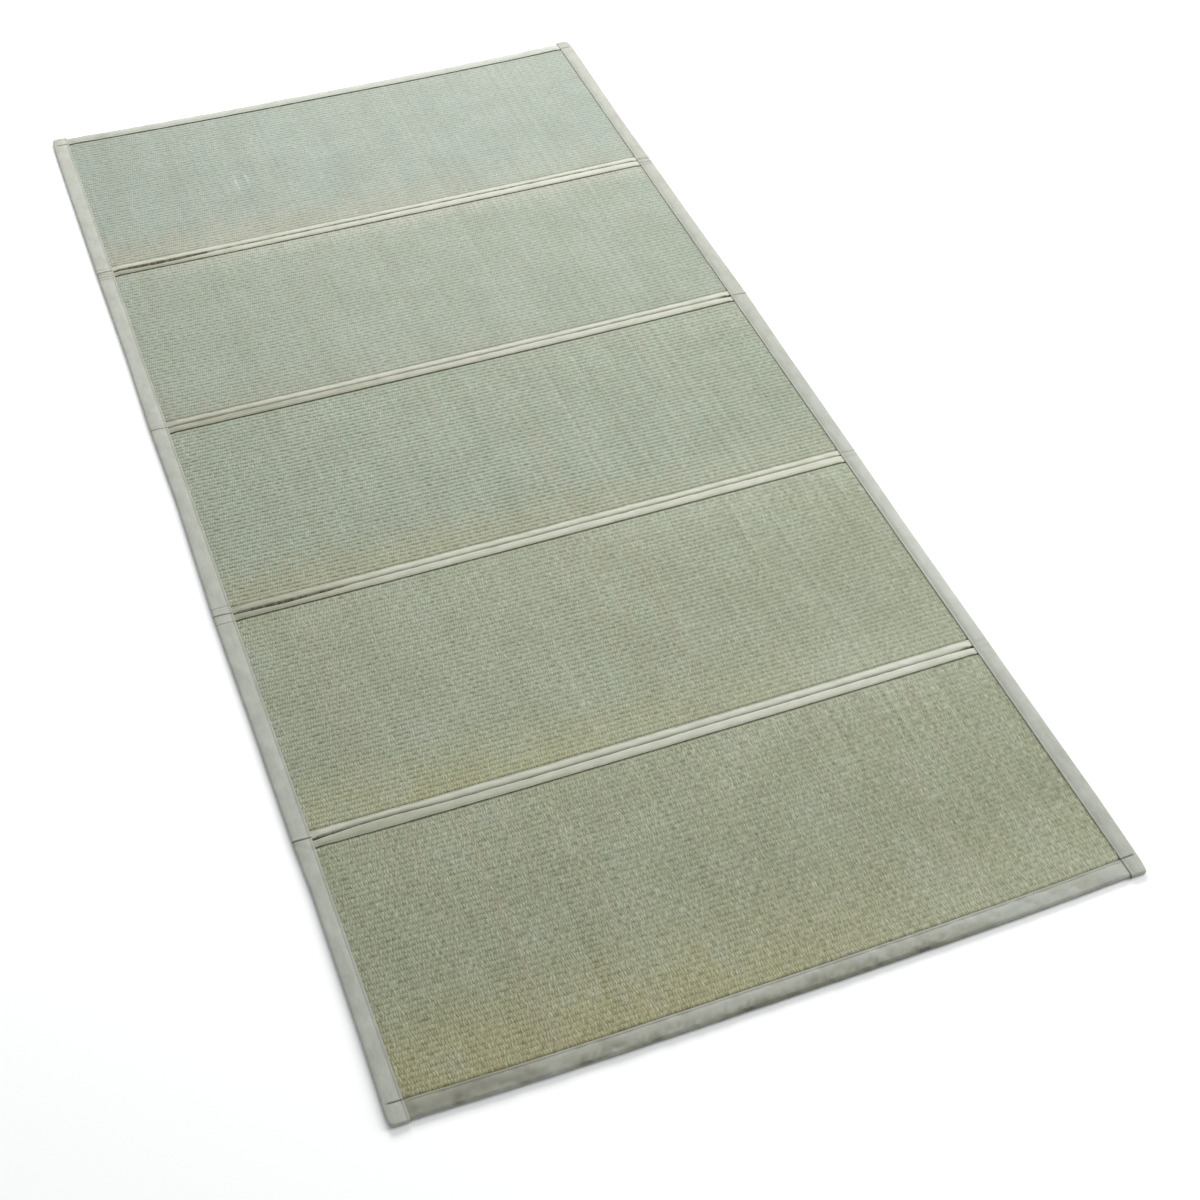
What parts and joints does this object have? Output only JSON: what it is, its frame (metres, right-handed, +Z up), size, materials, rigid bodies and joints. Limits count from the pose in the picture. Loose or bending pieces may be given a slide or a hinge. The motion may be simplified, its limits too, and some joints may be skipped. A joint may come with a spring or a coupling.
{
  "type": "folding tatami mat",
  "caption": "Flat folding tatami mat: woven rush panels side by side, bound along every edge and fold with pale cloth tape.",
  "frame": {"origin": "on the surface the mat lies on, under the middle of its outline", "axes": "+X across the mat, along its folds, +Y along the mat towards its narrow rear binding, +Z up"},
  "size_m": [1.0056, 2.095, 0.0079],
  "materials": {
    "woven_rush": "woven rush, softly satin",
    "fold_tape": "matt woven cloth tape",
    "edge_binding": "matt woven cloth tape"
  },
  "bodies": {
    "root": {"rush_panel_1": "woven_rush", "rush_panel_2": "woven_rush", "rush_panel_3": "woven_rush", "rush_panel_4": "woven_rush", "rush_panel_5": "woven_rush", "fold_1_tape_rear": "fold_tape", "fold_1_tape_front": "fold_tape", "fold_2_tape_rear": "fold_tape", "fold_2_tape_front": "fold_tape", "fold_3_tape_rear": "fold_tape", "fold_3_tape_front": "fold_tape", "fold_4_tape_rear": "fold_tape", "fold_4_tape_front": "fold_tape", "end_binding_rear": "edge_binding", "end_binding_front": "edge_binding", "side_binding_left": "edge_binding", "side_binding_right": "edge_binding"}
  },
  "joints": []
}
